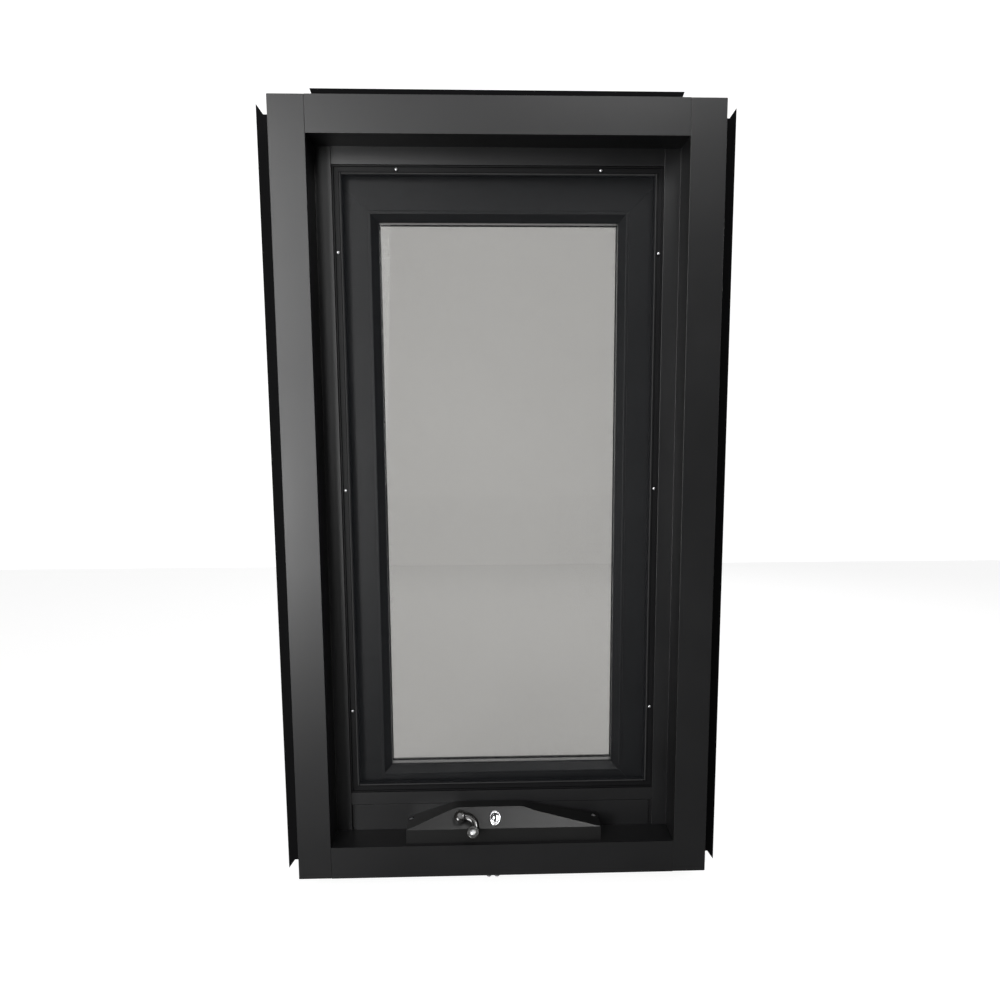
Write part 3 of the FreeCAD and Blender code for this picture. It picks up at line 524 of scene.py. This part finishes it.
def crossScrew(radius, height, bold=1):
    # a pan head with a cross recess, standing on the origin
    share = radius / screwHead["radius"]
    head = turned([(radius * 0.97, 0), (radius, height * 0.3), (radius * 0.9, height * 0.68),
                   (radius * 0.68, height * 0.9), (radius * 0.3, height)], 40)
    for turn in (0, 90):
        bpy.ops.mesh.primitive_cube_add(size=1, location=(0, 0, height), rotation=(0, 0, math.radians(turn)))
        cutter = bpy.context.object
        cutter.scale = (screwHead["crossWidth"] * share * bold, screwHead["crossLength"] * share,
                        screwHead["crossDepth"] * share * 2)
        layDown(cutter, Matrix.Identity(4))
        cutWith(head, cutter)
    softenEdges(head, 0.12 * share, 2)
    return head


def makeScrews():
    upright = []
    for low, high in solidMiddles("winder_screws"):
        middle = (low + high) / 2
        top = high.z - screwHead["height"] * millimetre
        head = crossScrew(screwHead["radius"], screwHead["height"])
        shank = turned([(2, -24), (2, 0.2)], 24)
        screw = joinAll("screw", [head, shank])
        layDown(screw, Matrix.Translation((middle.x, middle.y, top)) @ Matrix.Rotation(0.5, 4, "Z")
                @ Matrix.Scale(millimetre, 4))
        upright.append(screw)
    finish(joinAll("coverScrews", upright), "window", brightSteel, ["winder_screws"])
    hanging = []
    for low, high in solidMiddles("sill_screws"):
        middle = (low + high) / 2
        screw = crossScrew((high.x - low.x) / 2 / millimetre, (high.z - low.z) / millimetre)
        layDown(screw, Matrix.Translation((middle.x, middle.y, high.z)) @ Matrix.Rotation(math.pi, 4, "X")
                @ Matrix.Scale(millimetre, 4))
        hanging.append(screw)
    finish(joinAll("sillScrewHeads", hanging), "window", brightSteel, ["sill_screws"])


screenPin = {
    # radius and height of the plunger, from the channel up
    "steps": [(1.6, 0), (1.6, 1.0), (1.95, 1.3), (1.95, 2.3), (1.8, 2.8), (1.3, 3.15), (0.5, 3.3)],
}


def makeScreenPins():
    pins = []
    for low, high in solidMiddles("screen_pins"):
        middle = (low + high) / 2
        pin = turned(screenPin["steps"], 20)
        layDown(pin, Matrix.Translation((middle.x, high.y, middle.z)) @ Matrix.Rotation(math.radians(90), 4, "X")
                @ Matrix.Scale(millimetre, 4))
        pins.append(pin)
    finish(joinAll("screenPins", pins), "window", brightSteel, ["screen_pins"])


makeScrews()
makeScreenPins()
print("screws and pins made")


winderFacet = {
    "frontHeight": 21,
    "run": 22,
}


def onFacet(across, up, out=0):
    # a place on the cover's sloped face, for a piece in millimetres: Y up the face and Z out of it
    low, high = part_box("winder_cover")
    corner = Vector((0, low.y, low.z + winderFacet["frontHeight"] * millimetre))
    slope = math.atan2(high.z - corner.z, winderFacet["run"] * millimetre)
    return (Matrix.Translation(corner) @ Matrix.Rotation(slope, 4, "X") @ Matrix.Scale(millimetre, 4)
            @ Matrix.Translation((across, up, out)))


crank = {
    "hub": (-63.5, 15.4),
    "hubRadius": 9.3,
    "hubTop": 15.2,
    "hubRound": 5.2,
    "knobShift": (19.6, -26.7),
    "bulge": 12.0,
    "armWidth": 11.6,
    "armThickness": 5.0,
    "armMiddle": 11.5,
    "bossRadius": 6.2,
    "spindleRadius": 4.0,
    "pinRadius": 3.0,
    "pinTop": 25.3,
    "voxel": 0.45,
}


def makeCrank():
    dx, dy = crank["knobShift"]
    chord = math.hypot(dx, dy)
    radius = (chord ** 2 / 4 + crank["bulge"] ** 2) / (2 * crank["bulge"])
    lean = math.atan2(dx, -dy)
    sweep = 2 * math.asin(chord / 2 / radius)
    inward = radius - crank["bulge"]
    centre = Vector((dx / 2 - inward * math.cos(lean), dy / 2 - inward * math.sin(lean), 0))
    first = lean + sweep / 2
    # the hub is a cap with a large round edge
    hub = turned([(crank["hubRadius"] * 0.94, 0.3), (crank["hubRadius"], 2.0), (crank["hubRadius"], crank["hubTop"])])
    edit(hub)
    pick(hub, "edges", lambda edge: all(vertex.co.z > crank["hubTop"] - 0.01 for vertex in edge.verts))
    bpy.ops.mesh.bevel(offset=crank["hubRound"], segments=8, affect="EDGES")
    leaveEdit()
    # the arm is an oval swept round the arc from the hub to the knob
    bpy.ops.mesh.primitive_circle_add(vertices=28, radius=1, fill_type="NGON")
    arm = bpy.context.object
    along = Vector((math.sin(first), -math.cos(first), 0))
    out = Vector((math.cos(first), math.sin(first), 0))
    turn = Matrix((out, (0, 0, 1), along)).transposed().to_4x4()
    size = Matrix.Diagonal((crank["armWidth"] / 2, crank["armThickness"] / 2, 1, 1))
    layDown(arm, Matrix.Translation((0, 0, crank["armMiddle"])) @ turn @ size)
    edit(arm)
    bpy.ops.mesh.spin(steps=28, angle=sweep, center=centre, axis=(0, 0, 1))
    bpy.ops.mesh.select_all(action="SELECT")
    bpy.ops.mesh.remove_doubles(threshold=1e-4)
    bpy.ops.mesh.normals_make_consistent(inside=False)
    leaveEdit()
    half = crank["armThickness"] / 2
    low, high = crank["armMiddle"] - half, crank["armMiddle"] + half
    boss = turned([(crank["bossRadius"] * 0.8, low), (crank["bossRadius"], low + 1), (crank["bossRadius"], high - 1),
                   (crank["bossRadius"] * 0.9, high)])
    layDown(boss, Matrix.Translation((dx, dy, 0)))
    moulded = joinAll("crankHandle", [arm, boss, hub])
    useModifier(moulded, "REMESH", mode="VOXEL", voxel_size=crank["voxel"])
    useModifier(moulded, "SMOOTH", factor=0.5, iterations=7)
    spindle = turned([(crank["spindleRadius"], -13), (crank["spindleRadius"], 1.5)], 32)
    pin = turned([(crank["pinRadius"], high - 1), (crank["pinRadius"], crank["pinTop"])], 32)
    layDown(pin, Matrix.Translation((dx, dy, 0)))
    handle = joinAll("crankHandle", [spindle, pin, moulded])
    layDown(handle, onFacet(*crank["hub"]))
    finish(handle, "crank", crankGloss, ["crank"], 60)


knob = {
    # radius and height from the arm up: neck, flare, side, ring groove and screw well
    "steps": [(6.0, 0.0), (6.2, 0.5), (6.2, 2.4), (6.7, 3.4), (7.8, 4.8), (8.7, 6.2), (9.1, 7.6), (9.2, 9.0),
              (9.2, 11.0), (8.85, 11.75), (8.35, 12.35), (7.8, 12.7), (7.0, 12.7), (6.9, 12.15), (6.5, 12.15),
              (6.4, 12.7), (5.5, 12.7), (5.2, 12.4), (5.2, 10.7)],
    "seat": 14.3,
}


def makeKnob():
    grip = turned(knob["steps"], 56)
    softenEdges(grip, 0.12, 2)
    across, up = crank["hub"][0] + crank["knobShift"][0], crank["hub"][1] + crank["knobShift"][1]
    layDown(grip, onFacet(across, up, knob["seat"]))
    finish(grip, "knob", crankGloss, ["crank_knob"])
    head = crossScrew(4.4, 1.5, 1.5)
    layDown(head, onFacet(across, up, crank["pinTop"]))
    finish(head, "crank", brightSteel, ["knob_screw"])
    head.name = "knobScrewHead"


lock = {
    "middle": (-12, 14.6),
    "width": 17.2,
    "length": 23.0,
    "rise": 4.0,
    "bezel": 1.5,
    # radius and height of the key plug: barrel, round edge and slightly domed face
    "plug": [(6.9, -11), (6.9, 3.3), (6.6, 3.7), (6.0, 3.9), (4.4, 4.1), (2.8, 4.22), (1.2, 4.28)],
    "bore": 6.98,
    "slotWidth": 2.6,
    "slotLength": 11.6,
    "slotDepth": 7.0,
    # top of the black block that paints the shade in the key slot
    "keywayShadeTop": 2.6,
}


def makeLock():
    # an oval rosette with a raised rim round the key plug
    rise = lock["rise"]
    bpy.ops.mesh.primitive_cylinder_add(vertices=72, radius=1, depth=rise, location=(0, 0, rise / 2))
    rosette = bpy.context.object
    rosette.scale = (lock["width"] / 2, lock["length"] / 2, 1)
    layDown(rosette, Matrix.Identity(4))
    edit(rosette)
    pickTop(rosette)
    bpy.ops.mesh.bevel(offset=lock["bezel"], segments=5, affect="EDGES")
    leaveEdit()
    cutWith(rosette, turned([(lock["bore"], -1), (lock["bore"], rise + 1)]))
    layDown(rosette, onFacet(*lock["middle"]))
    finish(joinAll("lockRosette", [rosette]), "window", lockChrome, ["lock_housing"], 50)
    plug = turned(lock["plug"])
    depth = lock["slotDepth"]
    bpy.ops.mesh.primitive_cube_add(size=1, location=(0, 0, rise + 1 - depth / 2))
    slot = bpy.context.object
    slot.scale = (lock["slotWidth"], lock["slotLength"], depth)
    layDown(slot, Matrix.Identity(4))
    cutWith(plug, slot)
    softenEdges(plug, 0.1, 2)
    layDown(plug, onFacet(*lock["middle"]))
    # painted shade: a black rubber block set into the key slot, standing in for the shade down the keyway
    spare = 0.1
    bpy.ops.mesh.primitive_cube_add(size=1, location=(0, 0, lock["keywayShadeTop"] - 1))
    keywayShade = bpy.context.object
    keywayShade.scale = (lock["slotWidth"] + spare, lock["slotLength"] + spare, 2)
    layDown(keywayShade, Matrix.Identity(4))
    softenEdges(keywayShade, 0.3, 2)
    layDown(keywayShade, onFacet(*lock["middle"]))
    # the black block is painted shade inside the keyway, not a part of the lock
    finish(joinAll("lockKeywayShade", [keywayShade]), "lock_plug_body", rubber)
    finish(joinAll("lockPlug", [plug]), "lock_plug_body", lockChrome, ["lock_plug"])


makeCrank()
makeKnob()
makeLock()
print("crank, knob and lock made")


# stage, lights and camera

stageLook = {
    "floorSize": 12.0,
    "backdropPlace": 2.6,
    "backdropHeight": 6.0,
    "shade": (0.30, 0.30, 0.30, 1),
    "floorWhite": (0.90, 0.0, 0.68),
    "backdropWhite": (1.0, 0.6, 0.08),
}


def seenWhite(name, strengths):
    # pale stuff that adds its own white for camera, glossy and transmission rays
    material = bpy.data.materials.new(name)
    material.use_nodes = True
    tree = material.node_tree
    tree.nodes.clear()
    start = Signal(tree)
    kinds = ("Is Camera Ray", "Is Glossy Ray", "Is Transmission Ray")
    rays = [start.add("LightPath", {}, {}, kind) for kind in kinds]
    seen = sum(ray * strength for ray, strength in zip(rays, strengths))
    lit = start.add("BsdfDiffuse", {}, {"Color": stageLook["shade"]})
    white = start.add("Emission", {}, {"Color": (1, 1, 1, 1), "Strength": seen})
    both = start.add("AddShader", {}, {0: lit, 1: white})
    output = tree.nodes.new("ShaderNodeOutputMaterial")
    both.into(output, "Surface")
    return material


def makeStage():
    low = cadBox[0]
    size = stageLook["floorSize"]
    bpy.ops.mesh.primitive_plane_add(size=size, location=(0, 0, low.z))
    floor = bpy.context.object
    floor.name = "floor"
    floor.data.materials.append(seenWhite("floorMatt", stageLook["floorWhite"]))
    height = stageLook["backdropHeight"]
    bpy.ops.mesh.primitive_plane_add(size=1, location=(0, stageLook["backdropPlace"], low.z + height / 2),
                                     rotation=(math.radians(90), 0, 0))
    backdrop = bpy.context.object
    backdrop.name = "backdrop"
    backdrop.scale = (size, height, 1)
    layDown(backdrop, Matrix.Identity(4))
    backdrop.data.materials.append(seenWhite("backdropMatt", stageLook["backdropWhite"]))


def makeWorld():
    world = bpy.data.worlds.new("studio")
    scene.world = world
    world.use_nodes = True
    tree = world.node_tree
    tree.nodes.clear()
    start = Signal(tree)
    rays = [start.add("LightPath", {}, {}, kind) for kind in ("Is Camera Ray", "Is Transmission Ray")]
    seen = rays[0].maths("MAXIMUM", rays[0], rays[1])
    ambient = 0.02
    light = start.add("Background", {}, {"Color": (1, 1, 1, 1), "Strength": seen * (1 - ambient) + ambient})
    output = tree.nodes.new("ShaderNodeOutputWorld")
    light.into(output, "Surface")


softboxes = {
    # place, aim, width, height, power in watts
    "windowLow": ((-1.30, -2.20, 0.16), (0.0, -0.06, 0.50), 0.65, 0.65, 44.0),
    "windowMiddle": ((-1.30, -2.20, 0.92), (0.0, -0.06, 0.60), 0.65, 0.75, 13.0),
    "windowHigh": ((-1.32, -2.20, 1.60), (0.0, -0.06, 0.60), 0.65, 0.65, 25.0),
    "windowInner": ((-0.60, -2.20, 1.20), (0.0, -0.06, 0.60), 0.35, 1.7, 7.5),
    "stripRight": ((1.50, -1.70, 0.80), (0.0, -0.06, 0.60), 0.10, 1.5, 1.8),
    "highRight": ((0.40, -2.20, 2.25), (0.0, -0.06, 0.60), 0.65, 0.65, 4.0),
    "overheadRight": ((0.54, -1.32, 2.20), (0.10, 0.0, 0.15), 0.5, 0.5, 16.5),
    "overheadMiddle": ((-0.18, -1.42, 2.20), (-0.04, -0.06, 0.08), 0.22, 0.4, 0.9),
    "behind": ((0.80, 1.90, 1.60), (0.0, 0.0, 0.55), 1.2, 1.2, 18.0),
}


def makeLights():
    for name, (place, aim, width, height, power) in softboxes.items():
        bpy.ops.object.light_add(type="AREA", location=place)
        lamp = bpy.context.object
        lamp.name = name
        lamp.data.shape = "RECTANGLE"
        lamp.data.size = width
        lamp.data.size_y = height
        lamp.data.energy = power
        lamp.rotation_euler = (Vector(aim) - Vector(place)).to_track_quat("-Z", "Y").to_euler()
        lamp.visible_camera = False
        lamp.visible_transmission = False


viewpoint = {
    # where the photograph was taken from
    "place": (-0.01762, -1.13575, 0.68162),
    "pitch": -7.487,
    "yaw": 1.824,
    "roll": -0.21,
    "lens": 28.08,
    "shift": (-0.0135, 0.0228),
}


def makeCamera():
    bpy.ops.object.camera_add()
    camera = bpy.context.object
    camera.data.sensor_width = 36
    camera.data.lens = viewpoint["lens"]
    camera.data.shift_x, camera.data.shift_y = viewpoint["shift"]
    camera.matrix_world = (Matrix.Translation(viewpoint["place"])
                           @ Matrix.Rotation(math.radians(-viewpoint["yaw"]), 4, "Z")
                           @ Matrix.Rotation(math.radians(90 + viewpoint["pitch"]), 4, "X")
                           @ Matrix.Rotation(math.radians(viewpoint["roll"]), 4, "Z"))
    scene.camera = camera


makeStage()
makeWorld()
makeLights()
makeCamera()
scene.view_settings.view_transform = "Standard"
print("stage, lights and camera set")
